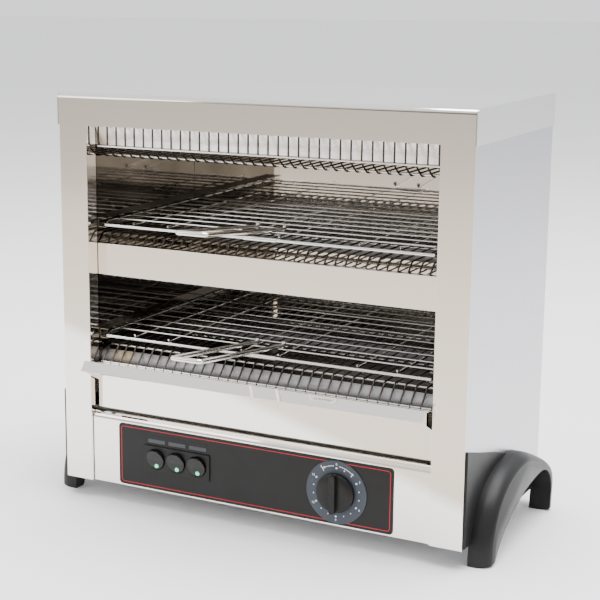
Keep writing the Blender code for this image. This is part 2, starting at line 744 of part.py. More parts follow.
def timer_knob():
    """A round skirt with a straight grip across it, on a shaft. Its origin is on the shaft's axis."""
    back = overlay_face() - 0.8 * MM - 2 * GAP
    origin = (TIMER[0], back, TIMER[1])
    bm = bmesh.new()
    add_cylinder(bm, (0, 0, 0), (0, -3.5 * MM, 0), KNOB_RADIUS, 48)
    knob = object_from(bm, "timer_knob", BLACK, origin)
    bm = bmesh.new()
    add_cylinder(bm, (0, -3 * MM, 0), (0, -6 * MM, 0), KNOB_RADIUS - 0.6 * MM, 48, KNOB_RADIUS - 3.5 * MM)
    combine(knob, object_from(bm, "knob_crown", None, origin), "UNION")
    bm = bmesh.new()
    end = KNOB_RADIUS - 0.5 * MM
    outline = rounded_box_outline((-3.3 * MM, -end), (3.3 * MM, end), 2.8 * MM, 3)
    add_prism(bm, outline, 1, -2 * MM, -11.5 * MM)
    combine(knob, object_from(bm, "knob_grip", None, origin), "UNION")
    bm = bmesh.new()
    add_cylinder(bm, (0, -2 * MM, 0), (0, 12 * MM, 0), SHAFT_RADIUS, 20)
    combine(knob, object_from(bm, "knob_shaft", None, origin), "UNION")
    return knob


def timer_body():
    front = y_at(PANEL_FACE) + SHEET + GAP
    low = (TIMER[0] - 22 * MM, front, TIMER[1] - 22 * MM)
    body = box("timer_body", low, (TIMER[0] + 22 * MM, front + 30 * MM, TIMER[1] + 22 * MM), BRUSHED)
    ends = [(TIMER[0], front + step, TIMER[1]) for step in (-3 * MM, 9 * MM)]
    bore(body, *ends, SHAFT_RADIUS + GAP, 20)
    return body


# Cord entry


def cord_gland():
    panel_back = y_at(BODY_DEPTH) - SHEET - GAP
    end = y_at(BODY_DEPTH + OVERHANG) + GLAND_REACH

    def at(y):
        return (GLAND_X, y, GLAND_HEIGHT)

    collar = cylinder("cord_gland", at(panel_back + GAP), at(panel_back + 4 * MM), 12 * MM, 24, BLACK)
    nut = cylinder("gland_nut", at(panel_back + 3 * MM), at(end - 1.5 * MM), 10 * MM, 24, None, 8.5 * MM)
    lip = cylinder("gland_lip", at(end - 2.5 * MM), at(end), 6.5 * MM, 24)
    barrel = cylinder("gland_barrel", at(panel_back - 10 * MM), at(panel_back + 2 * MM), 8 * MM, 24)
    for other in (nut, lip, barrel):
        combine(collar, other, "UNION")
    bore(collar, at(panel_back - 14 * MM), at(end + 4 * MM), 4.2 * MM, 20)
    return collar


def terminal_block():
    low = (GLAND_X - 24 * MM, y_at(178 * MM), BODY_BOTTOM + SHEET + GAP)
    size = Vector((48, 20, 17)) * MM
    white = ((0.75, 0.73, 0.68), 0.6, 0.0)
    block = box("terminal_block", low, Vector(low) + size, white)
    bm = bmesh.new()
    for i in range(4):
        x = low[0] + (6 + 12 * i) * MM
        for y in (low[1] + 5 * MM, low[1] + 15 * MM):
            add_cylinder(bm, (x, y, low[2] + 11 * MM), (x, y, low[2] + 20 * MM), 2.6 * MM, 12)
    combine(block, object_from(bm, "terminal_block_pockets"), "DIFFERENCE")
    return block


# Feet


def foot_outer_curve():
    """(depth, height) along the arch's outside, from the front toe over the crown to the rear toe."""
    front = bezier((16.5, 0), (16.5, 63), (58, 90), (118, 91), 12)
    fall = bezier((118, 91), (140, 91), (169, 79.2), (193.9, 68.5), 5)
    rear = bezier((193.9, 68.5), (215, 59.5), (231, 52), (231, 30), 6)
    return [(p * MM, q * MM) for p, q in front + fall[1:] + rear[1:] + [(228, 0)]]


def foot_inner_curve():
    """(depth, height) along the arch's inside, from the rear toe forwards to the front toe."""
    rear = bezier((215.5, 22), (216.5, 43), (200, 57), (174.5, 57), 5)
    front = bezier((174.5, 57), (104, 55), (47, 30), (32, 0), 9)
    return [(p * MM, q * MM) for p, q in [(213, 0)] + rear + front[1:]]


def outward_normals(curve):
    """Unit normals on the left of each point of a curve that runs over the arch from front to back."""
    normals = []
    for i in range(len(curve)):
        before, after = curve[max(i - 1, 0)], curve[min(i + 1, len(curve) - 1)]
        run = Vector((after[0] - before[0], after[1] - before[1])).normalized()
        normals.append((-run.y, run.x))
    return normals


def foot(side, name):
    """The moulded foot: a flat plate on the casing's side and the arch it stands on, with a rounded flank."""
    outer, inner = foot_outer_curve(), foot_inner_curve()
    normals = outward_normals(outer)
    plate_x = BODY_HALF + GAP
    sections = [(plate_x, 0.0, 0.0)]
    for angle in (0, 25, 50, 70, 90):
        turn = math.radians(angle)
        slip = 1 - math.cos(turn)
        x = FOOT_OUTER - FOOT_FLANK[0] * (1 - math.sin(turn))
        sections.append((x, FOOT_FLANK[1] * slip, FOOT_SOLE_RISE * max(slip - 0.1, 0)))
    bm = bmesh.new()
    rings = []
    for x, inset, sole in sections:
        loop = [(d - n[0] * inset, h - n[1] * inset) for (d, h), n in zip(outer, normals)] + inner
        rings.append([bm.verts.new((side * x, y_at(d), max(sole, h))) for d, h in loop])
    for near, far in zip(rings, rings[1:]):
        for i in range(len(near)):
            j = (i + 1) % len(near)
            bm.faces.new((near[i], near[j], far[j], far[i]))
    bm.faces.new(rings[0])
    bm.faces.new(rings[-1])
    thing = object_from(bm, name, BLACK)

    low = BODY_BOTTOM + 2.5 * MM
    corners = ((1, 124.5), (46, 111.5), (94, 99), (138, 86), (205, 60))
    plate = [(y_at(1 * MM), low)] + [(y_at(d * MM), h * MM) for d, h in corners] + [(y_at(224 * MM), low)]
    combine(thing, prism(name + "_plate", plate, 0, side * plate_x, side * (plate_x + FOOT_PLATE)), "UNION")
    return thing


def main():
    clear_scene()
    top_cover()
    side_panel(-1, "left_side_panel")
    side_panel(1, "right_side_panel")
    rear_panel()
    base_plate()
    electrics_shield()
    inner_wall(-1, "left_inner_wall")
    inner_wall(1, "right_inner_wall")
    chamber_back_wall()
    top_reflector()
    middle_crossbar()
    heating_tubes()
    guards()
    racks()
    crumb_tray()
    crumb_tray_front()
    control_panel()
    control_overlay()
    switch_plate()
    switch_block()
    for number, x in enumerate(SWITCH_X, 1):
        switch_button(number, x)
    timer_dial()
    timer_knob()
    timer_body()
    cord_gland()
    terminal_block()
    foot(-1, "left_foot")
    foot(1, "right_foot")


main()
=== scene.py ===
"""Looks of the two-deck tube toaster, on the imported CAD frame: round wires, quartz tubes, controls with a generic
dial, moulded feet, and a brushed or polished steel finish on every sheet."""

import json
import math

import bmesh
import bpy
from mathutils import Matrix, Vector


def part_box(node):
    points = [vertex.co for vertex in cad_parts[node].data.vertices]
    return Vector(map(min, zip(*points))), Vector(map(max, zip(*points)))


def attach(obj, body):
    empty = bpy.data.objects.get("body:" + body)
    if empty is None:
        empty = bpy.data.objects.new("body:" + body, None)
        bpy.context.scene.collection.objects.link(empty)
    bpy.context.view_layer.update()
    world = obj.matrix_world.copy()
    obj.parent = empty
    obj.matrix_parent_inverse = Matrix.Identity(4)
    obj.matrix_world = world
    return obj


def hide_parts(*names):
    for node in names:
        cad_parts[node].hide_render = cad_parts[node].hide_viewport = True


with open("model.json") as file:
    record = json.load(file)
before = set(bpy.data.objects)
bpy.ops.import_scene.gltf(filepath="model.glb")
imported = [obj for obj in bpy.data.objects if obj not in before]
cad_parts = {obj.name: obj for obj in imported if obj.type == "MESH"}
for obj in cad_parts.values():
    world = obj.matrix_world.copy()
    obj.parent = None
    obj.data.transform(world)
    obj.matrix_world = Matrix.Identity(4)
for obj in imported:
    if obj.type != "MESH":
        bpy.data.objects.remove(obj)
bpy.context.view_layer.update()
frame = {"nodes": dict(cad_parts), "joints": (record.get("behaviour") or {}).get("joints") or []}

MM = 0.001
NODES = frame["nodes"]

# The front plane of the casing, from which depths are measured
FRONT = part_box("left_side_panel")[0][1]


def y_at(depth):
    return FRONT + depth * MM


# ---------------------------------------------------------------- node materials


class Graph:
    """A small helper for building a node material."""

    def __init__(self, name):
        self.material = bpy.data.materials.new(name)
        self.material.use_nodes = True
        self.tree = self.material.node_tree
        self.shader = self.tree.nodes["Principled BSDF"]
        self.coords = self.tree.nodes.new("ShaderNodeTexCoord").outputs["Object"]

    def set(self, **values):
        for key, value in values.items():
            self.shader.inputs[key.replace("_", " ")].default_value = value

    def link(self, output, socket):
        self.tree.links.new(output, socket)

    def mapped(self, scale):
        node = self.tree.nodes.new("ShaderNodeMapping")
        node.inputs["Scale"].default_value = scale
        self.link(self.coords, node.inputs["Vector"])
        return node.outputs["Vector"]

    def noise(self, scale, detail=3.0, stretch=(1, 1, 1), rough=0.55):
        node = self.tree.nodes.new("ShaderNodeTexNoise")
        node.inputs["Scale"].default_value = scale
        node.inputs["Detail"].default_value = detail
        node.inputs["Roughness"].default_value = rough
        self.link(self.mapped(stretch), node.inputs["Vector"])
        return node.outputs["Fac"]

    def span(self, value, low, high, start=0.3, end=0.7):
        node = self.tree.nodes.new("ShaderNodeMapRange")
        node.inputs["From Min"].default_value = start
        node.inputs["From Max"].default_value = end
        node.inputs["To Min"].default_value = low
        node.inputs["To Max"].default_value = high
        self.link(value, node.inputs["Value"])
        return node.outputs["Result"]

    def mix(self, factor, low, high):
        """Colour between two colours or colour outputs."""
        node = self.tree.nodes.new("ShaderNodeMix")
        node.data_type = "RGBA"
        self.link(factor, node.inputs["Factor"])
        for socket, value in ((node.inputs["A"], low), (node.inputs["B"], high)):
            if isinstance(value, tuple):
                socket.default_value = (*value, 1.0)
            else:
                self.link(value, socket)
        return node.outputs["Result"]

    def axis(self, letter):
        node = self.tree.nodes.new("ShaderNodeSeparateXYZ")
        self.link(self.coords, node.inputs["Vector"])
        return node.outputs[letter]

    def math(self, operation, first, second=None):
        node = self.tree.nodes.new("ShaderNodeMath")
        node.operation = operation
        for socket, value in zip(node.inputs, (first, second)):
            if isinstance(value, (int, float)):
                socket.default_value = value
            elif value is not None:
                self.link(value, socket)
        return node.outputs[0]

    def bump(self, height, strength, distance):
        node = self.tree.nodes.new("ShaderNodeBump")
        node.inputs["Strength"].default_value = strength
        node.inputs["Distance"].default_value = distance
        self.link(height, node.inputs["Height"])
        self.link(node.outputs["Normal"], self.shader.inputs["Normal"])


def steel(name, colour, roughness, grain=(1, 1, 1), grain_depth=0.02, tint=None, vary=0.05):
    """Stainless sheet or wire: fine grain stretched along one axis, slow clouds in colour and gloss."""
    g = Graph(name)
    g.set(Metallic=1.0)
    lines = g.noise(900.0, 2.0, grain)
    cloud = g.noise(7.0, 3.0)
    darker = tuple(c * (1 - vary) for c in colour)
    g.link(g.mix(g.span(cloud, 0.0, 1.0), darker, tint or colour), g.shader.inputs["Base Color"])
    fine = g.span(lines, roughness * 0.8, roughness * 1.2)
    slow = g.span(cloud, -0.15 * roughness, 0.15 * roughness)
    g.link(g.math("ADD", fine, slow), g.shader.inputs["Roughness"])
    g.bump(lines, grain_depth, 0.0003)
    return g.material


def cased_steel(name, satin, polished, satin_rough, polished_rough, is_polished):
    """Sheet that is polished where the mask is_polished gives 1 and satin elsewhere. They meet on the folds."""
    g = Graph(name)
    g.set(Metallic=1.0)
    mask = is_polished(g)
    lines = g.noise(900.0, 2.0, (1, 1, 0.02))
    cloud = g.noise(5.0, 3.0)
    dull = g.mix(g.span(cloud, 0.0, 1.0), tuple(c * 0.97 for c in satin), satin)
    bright = g.mix(g.span(cloud, 0.0, 1.0), tuple(c * 0.97 for c in polished), polished)
    g.link(g.mix(mask, dull, bright), g.shader.inputs["Base Color"])
    base = g.span(mask, satin_rough, polished_rough, 0.0, 1.0)
    g.link(g.math("MULTIPLY", base, g.span(lines, 0.9, 1.1)), g.shader.inputs["Roughness"])
    g.bump(lines, 0.006, 0.0003)
    return g.material


def post_mask(g):
    """1 on the front posts and on the returns beside the chamber, 0 on the flanks."""
    front = g.math("LESS_THAN", g.axis("Y"), FRONT + 0.0006)
    inside = g.math("LESS_THAN", g.math("ABSOLUTE", g.axis("X")), 0.2056)
    return g.math("MAXIMUM", front, inside)


def cover_mask(g):
    """1 on the lid's front flap, 0 on its top and flanks."""
    front = g.math("LESS_THAN", g.axis("Y"), FRONT + 0.0035)
    inside = g.math("LESS_THAN", g.math("ABSOLUTE", g.axis("X")), 0.2389)
    return g.math("MULTIPLY", front, inside)


def plastic(name, colour, roughness, texture_scale, bump, coat=0.0, gloss=0.25):
    """Moulded plastic, film or ink with a fine grain."""
    g = Graph(name)
    grainy = g.noise(texture_scale, 4.0)
    cloud = g.noise(18.0, 2.0)
    lighter = tuple(min(1.0, c * 1.3 + 0.002) for c in colour)
    g.link(g.mix(g.span(cloud, 0.0, 1.0), colour, lighter), g.shader.inputs["Base Color"])
    g.link(g.span(cloud, roughness * 0.88, roughness * 1.12), g.shader.inputs["Roughness"])
    g.set(Coat_Weight=coat, Coat_Roughness=0.15, Specular_IOR_Level=gloss)
    g.bump(grainy, bump, 0.0004)
    return g.material


COVER_STEEL = cased_steel("cover_steel", (0.80, 0.80, 0.81), (0.93, 0.90, 0.86), 0.24, 0.07, cover_mask)
SIDE_STEEL = cased_steel("side_steel", (0.60, 0.60, 0.635), (0.93, 0.90, 0.86), 0.30, 0.06, post_mask)
FRONT_STEEL = steel("front_steel", (0.93, 0.90, 0.86), 0.055, (0.02, 1, 1), 0.003, None, 0.02)
REAR_STEEL = steel("rear_steel", (0.62, 0.62, 0.64), 0.38, (0.02, 1, 1), 0.02)
WALL_STEEL = steel("wall_steel", (0.20, 0.185, 0.165), 0.05, (1, 0.03, 1), 0.004, (0.30, 0.28, 0.245), 0.3)
BACK_STEEL = steel("back_steel", (0.74, 0.71, 0.66), 0.035, (0.03, 1, 1), 0.003, None, 0.10)
REFLECTOR_STEEL = steel("reflector_steel", (0.93, 0.90, 0.89), 0.42, (0.03, 1, 1), 0.01, None, 0.06)
TRAY_STEEL = steel("tray_steel", (0.16, 0.15, 0.14), 0.28, (0.02, 1, 1), 0.02, (0.22, 0.21, 0.20))
GUARD_WIRE = steel("guard_wire", (0.055, 0.046, 0.038), 0.34, (1, 1, 1), 0.03, (0.11, 0.092, 0.078), 0.3)
GUARD_ROD = steel("guard_rod", (0.80, 0.77, 0.73), 0.18, (1, 1, 1), 0.03, (0.88, 0.86, 0.83), 0.15)
RACK_WIRE = steel("rack_wire", (0.86, 0.84, 0.81), 0.16, (1, 1, 1), 0.03, (0.93, 0.92, 0.90), 0.12)
HANDLE_WIRE = steel("handle_wire", (0.90, 0.88, 0.84), 0.14, (1, 1, 1), 0.02)
FOOT_PLASTIC = plastic("foot_plastic", (0.0085, 0.0085, 0.009), 0.40, 1400.0, 0.08)
BLACK_PLASTIC = plastic("black_plastic", (0.010, 0.010, 0.010), 0.42, 1600.0, 0.05)
KNOB_PLASTIC = plastic("knob_plastic", (0.007, 0.007, 0.007), 0.34, 1500.0, 0.06)
SWITCH_PLASTIC = plastic("switch_plastic", (0.006, 0.006, 0.006), 0.20, 1200.0, 0.02, 0.3)
OVERLAY_FILM = plastic("overlay_film", (0.010, 0.010, 0.010), 0.42, 2200.0, 0.04)
DIAL_PLASTIC = plastic("dial_plastic", (0.048, 0.058, 0.075), 0.45, 1500.0, 0.03)
LABEL_FILM = plastic("label_film", (0.055, 0.060, 0.068), 0.38, 1500.0, 0.03)
FRAME_INK = plastic("frame_ink", (0.004, 0.005, 0.005), 0.35, 1500.0, 0.03)
BORDER_INK = plastic("border_ink", (0.50, 0.018, 0.030), 0.42, 1500.0, 0.03)
MARK_INK = plastic("mark_ink", (0.78, 0.80, 0.83), 0.45, 1500.0, 0.03)
CERAMIC = plastic("ceramic", (0.78, 0.75, 0.68), 0.75, 900.0, 0.15)


def quartz_material():
    """Frosted tube with a fine lengthwise grain, and scorched tan in bands near its left end."""
    g = Graph("quartz_tube")
    mottle = g.noise(60.0, 4.0, (0.35, 1, 1))
    brushed = g.noise(420.0, 3.0, (0.25, 1, 1))
    grey = g.mix(g.span(mottle, 0.0, 1.0), (0.29, 0.28, 0.285), (0.42, 0.41, 0.415))
    grey = g.mix(g.span(brushed, 0.0, 0.6), grey, (0.50, 0.49, 0.50))
    x = g.axis("X")
    band = g.math("MULTIPLY", g.span(x, 0.0, 1.0, -0.194, -0.186), g.span(x, 1.0, 0.0, -0.166, -0.158))
    uneven = g.math("MULTIPLY", band, g.span(g.noise(55.0, 3.0), 0.25, 1.0))
    end = g.span(x, 1.0, 0.0, -0.20, -0.13)
    browned = g.mix(g.math("MULTIPLY", end, 0.55), grey, (0.16, 0.13, 0.11))
    g.link(g.mix(uneven, browned, (0.50, 0.38, 0.22)), g.shader.inputs["Base Color"])
    g.link(g.span(mottle, 0.24, 0.38), g.shader.inputs["Roughness"])
    g.set(Coat_Weight=0.35, Coat_Roughness=0.12)
    g.bump(brushed, 0.06, 0.0005)
    return g.material


def lamp_material():
    g = Graph("lamp_lens")
    glow = g.noise(500.0, 2.0)
    g.link(g.mix(g.span(glow, 0.0, 1.0), (0.05, 0.62, 0.30), (0.20, 0.90, 0.50)), g.shader.inputs["Base Color"])
    g.link(g.mix(g.span(glow, 0.0, 1.0), (0.05, 0.80, 0.36), (0.20, 1.0, 0.55)), g.shader.inputs["Emission Color"])
    g.link(g.span(glow, 0.16, 0.24), g.shader.inputs["Roughness"])
    g.set(Emission_Strength=1.2)
    return g.material


# Floor: its turn in degrees, which squares it to the picture's front edge, and where it is warm and white again
FLOOR_TURN, FLOOR_WARM, FLOOR_WHITE = -30.0, -0.305, -0.272


def floor_material():
    """A white worktop that turns warm out in front of the object, beyond the picture."""
    g = Graph("floor")
    turned = g.tree.nodes.new("ShaderNodeMapping")
    turned.inputs["Rotation"].default_value = (0, 0, math.radians(FLOOR_TURN))
    g.link(g.coords, turned.inputs["Vector"])
    parts = g.tree.nodes.new("ShaderNodeSeparateXYZ")
    g.link(turned.outputs["Vector"], parts.inputs["Vector"])
    away = g.span(parts.outputs["Y"], 1.0, 0.0, FLOOR_WARM, FLOOR_WHITE)
    white = g.mix(g.span(g.noise(2.0), 0.0, 1.0), (0.93, 0.93, 0.93), (0.95, 0.95, 0.95))
    g.link(g.mix(away, white, (0.60, 0.525, 0.44)), g.shader.inputs["Base Color"])
    g.set(Roughness=0.6)
    return g.material


QUARTZ = quartz_material()
LAMP = lamp_material()

# ---------------------------------------------------------------- pieces


def put(obj, body, material, slot, *replaced):
    """Finishes a new piece: its material, the body that it rides on and the CAD nodes that it stands for."""
    if obj.name not in bpy.context.scene.collection.objects:
        bpy.context.scene.collection.objects.link(obj)
    obj.data.materials.clear()
    obj.data.materials.append(material)
    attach(obj, body)
    if replaced:
        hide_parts(*replaced)
    return obj


def mesh_object(name, bm, angle=35.0):
    bmesh.ops.recalc_face_normals(bm, faces=bm.faces)
    data = bpy.data.meshes.new(name)
    bm.to_mesh(data)
    bm.free()
    data.shade_smooth()
    data.set_sharp_from_angle(angle=math.radians(angle))
    obj = bpy.data.objects.new(name, data)
    bpy.context.scene.collection.objects.link(obj)
    return obj


def skin(bm, rings):
    """Joins each closed ring of vertices to the next one."""
    for near, far in zip(rings, rings[1:]):
        for i in range(len(near)):
            j = (i + 1) % len(near)
            bm.faces.new((near[i], near[j], far[j], far[i]))


def close_ends(bm, rings):
    bm.faces.new(rings[0][::-1])
    bm.faces.new(rings[-1])


def ring_about_x(bm, x, radius, y, z, steps):
    """Vertices of a circle about the line along X through (y, z)."""
    turns = (2 * math.pi * i / steps for i in range(steps))
    return [bm.verts.new((x, y + radius * math.cos(a), z + radius * math.sin(a))) for a in turns]


def soften(obj, width, segments=2, angle=40.0):
    """Rounds an object's edges a little, so that they catch the light."""
    weld = obj.modifiers.new("weld", "WELD")
    weld.merge_threshold = 0.00001
    bevel = obj.modifiers.new("bevel", "BEVEL")
    bevel.width = width
    bevel.segments = segments
    bevel.limit_method = "ANGLE"
    bevel.angle_limit = math.radians(angle)
    bevel.harden_normals = True
    return obj


def wire_object(name, paths, radius, resolution=3):
    """Round wires as one curve object. Each path is (points, radius factor)."""
    data = bpy.data.curves.new(name, "CURVE")
    data.dimensions = "3D"
    data.bevel_depth = radius
    data.bevel_resolution = resolution
    data.use_fill_caps = True
    for points, factor in paths:
        line = data.splines.new("POLY")
        line.points.add(len(points) - 1)
        for point, place in zip(line.points, points):
            point.co = (*place, 1.0)
            point.radius = factor
        line.use_smooth = True
    obj = bpy.data.objects.new(name, data)
    bpy.context.scene.collection.objects.link(obj)
    return obj


def rounded(points, radius, steps=6):
    """A path with each inner corner rounded."""
    points = [Vector(p) for p in points]
    path = [points[0]]
    for before, corner, after in zip(points, points[1:], points[2:]):
        start = corner + (before - corner).normalized() * radius
        end = corner + (after - corner).normalized() * radius
        for i in range(steps + 1):
            t = i / steps
            path.append(start * (1 - t) ** 2 + corner * 2 * t * (1 - t) + end * t**2)
    return path + [points[-1]]


def revolve(bm, profile, steps, axis_point):
    """Adds a closed solid of revolution about the line along Y through axis_point. profile is
    (radius, y offset) from the axis at the back to the axis at the front."""
    rings = []
    for radius, offset in profile:
        if radius < 1e-7:
            rings.append([bm.verts.new(axis_point + Vector((0, offset, 0)))])
        else:
            rings.append([
                bm.verts.new(axis_point + Vector((radius * math.cos(a), offset, radius * math.sin(a))))
                for a in (2 * math.pi * i / steps for i in range(steps))
            ])
    for near, far in zip(rings, rings[1:]):
        for i in range(steps):
            j = (i + 1) % steps
            if len(near) == 1:
                bm.faces.new((near[0], far[i], far[j]))
            elif len(far) == 1:
                bm.faces.new((near[i], far[0], near[j]))
            else:
                bm.faces.new((near[i], far[i], far[j], near[j]))


def prism(bm, outline, axis, start, end):
    """A closed solid between two copies of an outline, set along the axis 0, 1 or 2."""
    place = {
        0: lambda p, q, s: (s, p, q),
        1: lambda p, q, s: (p, s, q),
        2: lambda p, q, s: (p, q, s),
    }[axis]
    rings = [[bm.verts.new(place(p, q, s)) for p, q in outline] for s in (start, end)]
    skin(bm, rings)
    close_ends(bm, rings)


def arc(centre, radius, start, end, steps):
    """Points of an arc between two angles in degrees."""
    angles = [math.radians(start + (end - start) * i / steps) for i in range(steps + 1)]
    return [(centre[0] + radius * math.cos(a), centre[1] + radius * math.sin(a)) for a in angles]


def rounded_outline(low, high, radius, steps=6):
    """A rectangle with round corners."""
    (x0, z0), (x1, z1) = low, high
    points = []
    for x, z, turn in ((x1, z1, 0), (x0, z1, 90), (x0, z0, 180), (x1, z0, 270)):
        cx = x - math.copysign(radius, x - (x0 + x1) / 2)
        cz = z - math.copysign(radius, z - (z0 + z1) / 2)
        points += arc((cx, cz), radius, turn, turn + 90, steps)
    return points


# Guards: (node, path of (depth, height) in mm, (depth, height) of the cross rods beside the wires)
GUARD_PITCH, GUARD_COUNT = 11.6, 35
GUARD_BEND = 0.0035
GUARD_WIRE_RADIUS, GUARD_ROD_RADIUS = 0.00096, 0.0012
WIRE_END, ROD_END = 226.5, 225.5
GUARDS = (
    (
        "bottom_guard",
        [(13.4, 158.0), (31.4, 176.2), (WIRE_END, 176.2)],
        [(14.6, 158.6), (35.0, 174.6), (118.0, 174.6), (ROD_END, 174.6)],
    ),
    (
        "middle_lower_guard",
        [(21.6, 256.0), (WIRE_END, 256.0)],
        [(22.6, 257.6), (112.0, 257.6), (ROD_END, 257.6)],
    ),
    (
        "middle_upper_guard",
        [(28.5, 291.0), (39.0, 301.6), (WIRE_END, 301.6)],
        [(29.8, 290.8), (124.0, 300.0), (ROD_END, 300.0)],
    ),
    (
        "top_guard",
        [(14.4, 424.6), (14.4, 400.0), (29.0, 389.0), (WIRE_END, 389.0)],
        [(14.6, 401.4), (31.5, 390.6), (160.0, 390.6), (ROD_END, 390.6)],
    ),
)


def make_guards():
    for name, path, rods in GUARDS:
        low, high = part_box(name)
        wires = []
        for i in range(GUARD_COUNT):
            x = (i - (GUARD_COUNT - 1) / 2) * GUARD_PITCH * MM
            wire = [(x, y_at(d), z * MM) for d, z in path]
            wires.append((rounded(wire, GUARD_BEND, 5) if len(wire) > 2 else wire, 1.0))
        guard = wire_object(name + "_wires", wires, GUARD_WIRE_RADIUS)
        put(guard, "casing", GUARD_WIRE, "guard_wire", name)
        across = [([(low[0], y_at(d), z * MM), (high[0], y_at(d), z * MM)], 1.0) for d, z in rods]
        put(wire_object(name + "_rods", across, GUARD_ROD_RADIUS), "casing", GUARD_ROD, "guard_wire")


# Racks: depths and the long wires' places in mm, and radii relative to the cross wires'
RACK_FRONT, RACK_SECOND, RACK_PITCH = 20.0, 45.5, 26.0
RACK_LONG = (22.0, 113.0, 157.0)
RACK_WIRE_RADIUS = 0.00108
FRONT_ROD_FACTOR, LONG_WIRE_FACTOR = 1.75, 0.9
SLEEVE_RADIUS, SLEEVE_BORE, SLEEVE_HALF = 0.0027, 0.0020, 0.0195
HANDLE_RADIUS, HANDLE_HALF, HANDLE_HOOK, HANDLE_BEND = 0.0025, 0.016, 0.0045, 0.004
HANDLE_REACHES = (("lower", 132.5), ("upper", 121.6))


def make_rack(word):
    """Cross wires over the long ones, whose front ends stand up in front of a thicker front rod."""
    node = f"{word}_rack"
    low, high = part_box(node)
    middle = (low[2] + high[2]) / 2
    rod_z, wire_z, long_z = middle - 0.0015, middle + 0.0022, middle + 0.0001
    front, rear = y_at(RACK_FRONT), high[1] - 0.0012
    end, side = high[0] - 0.0025, high[0] - 0.0012
    paths = [([(-end, front, rod_z), (end, front, rod_z)], FRONT_ROD_FACTOR)]
    y = y_at(RACK_SECOND)
    while y < rear - RACK_PITCH / 2 * MM:
        paths.append(([(-side, y, wire_z), (side, y, wire_z)], 1.0))
        y += RACK_PITCH * MM
    paths.append(([(-side, rear, wire_z), (side, rear, wire_z)], 1.0))
    for x in RACK_LONG:
        for sign in (-1, 1):
            stub = (sign * x * MM, front - 0.0004, rod_z + 0.0046)
            start = (sign * x * MM, front + 0.0012, rod_z + 0.0026)
            paths.append(([stub, start, (sign * x * MM, rear, long_z)], LONG_WIRE_FACTOR))
    for sign in (-1, 1):
        frame_wire = [(sign * end, front, rod_z), (sign * side, front + 0.006, wire_z), (sign * side, rear, wire_z)]
        paths.append((rounded(frame_wire, 0.003, 4), 1.0))
    put(wire_object(node + "_wires", paths, RACK_WIRE_RADIUS, 4), node, RACK_WIRE, "rack_wire", node)
    sleeve = bmesh.new()
    make_sleeve(sleeve, front, rod_z)
    put(mesh_object(node + "_sleeve", sleeve), node, HANDLE_WIRE, "handle_wire")


def make_sleeve(bm, y, z):
    """A tube on the front rod, between the handle's legs."""
    chamfer = 0.0004
    left = [
        (-SLEEVE_HALF, SLEEVE_BORE),
        (-SLEEVE_HALF, SLEEVE_RADIUS - chamfer),
        (-SLEEVE_HALF + chamfer, SLEEVE_RADIUS),
    ]
    profile = left + [(-x, radius) for x, radius in left[::-1]]
    rings = [ring_about_x(bm, x, radius, y, z, 32) for x, radius in profile]
    skin(bm, rings + rings[:1])


def make_handle(word, reach):
    """The bent wire: hooks over the second cross wire, legs and grip. The path is the CAD node's own."""
    node = f"{word}_rack_handle"
    low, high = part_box(node)
    foot, grip = low[2] + HANDLE_RADIUS, high[2] - HANDLE_RADIUS
    hook = y_at(RACK_SECOND)
    corners = []
    for side in (-1, 1):
        x = side * HANDLE_HALF
        leg = [(x, hook, foot + HANDLE_HOOK), (x, hook, foot), (x, y_at(-reach), grip)]
        corners += leg if side < 0 else leg[::-1]
    path = rounded(corners, HANDLE_BEND, 10)
    wire = wire_object(node + "_wire", [(path, 1.0)], HANDLE_RADIUS * 0.99, 7)
    put(wire, f"{word}_rack", HANDLE_WIRE, "handle_wire", node)


# Tubes


def make_tubes():
    """Quartz tubes with melted ends and very slight rings along them."""
    for name in (f"{bank}_{place}_tube" for bank in ("bottom", "middle", "top") for place in ("front", "rear")):
        low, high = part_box(name)
        y, z = (low[1] + high[1]) / 2, (low[2] + high[2]) / 2
        radius = (high[2] - low[2]) / 2
        half, melted, count = high[0], 0.0006, 36
        profile = [(-half, radius - melted), (-half + melted, radius)]
        for i in range(1, count):
            profile.append((-half + 2 * half * i / count, radius - 0.00012 * (i % 2)))
        profile += [(half - melted, radius), (half, radius - melted)]
        bm = bmesh.new()
        rings = [ring_about_x(bm, x, r, y, z, 40) for x, r in profile]
        skin(bm, rings)
        close_ends(bm, rings)
        put(mesh_object(name + "_glass", bm, 50), "casing", QUARTZ, "quartz_tube", name)


# Feet: the rounded flank's width, how far it draws in and how far its sole rises, and the plate's outline in mm
FLANK_WIDE, FLANK_DEEP, SOLE_RISE, FLANK_STEPS = 0.018, 0.011, 0.0035, 12
PLATE_THICK, PLATE_BOTTOM = 0.0024, 23.5
PLATE_OUTLINE = (
    (1, PLATE_BOTTOM), (1, 124.5), (46, 111.5), (94, 99), (138, 86), (205, 60), (224, PLATE_BOTTOM)
)


def bezier(p0, p1, p2, p3, steps):
    """Points of a cubic curve in the plane."""
    points = []
    for i in range(steps + 1):
        t = i / steps
        a, b, c, d = (1 - t) ** 3, 3 * t * (1 - t) ** 2, 3 * t * t * (1 - t), t**3
        points.append(tuple(a * p0[k] + b * p1[k] + c * p2[k] + d * p3[k] for k in (0, 1)))
    return points


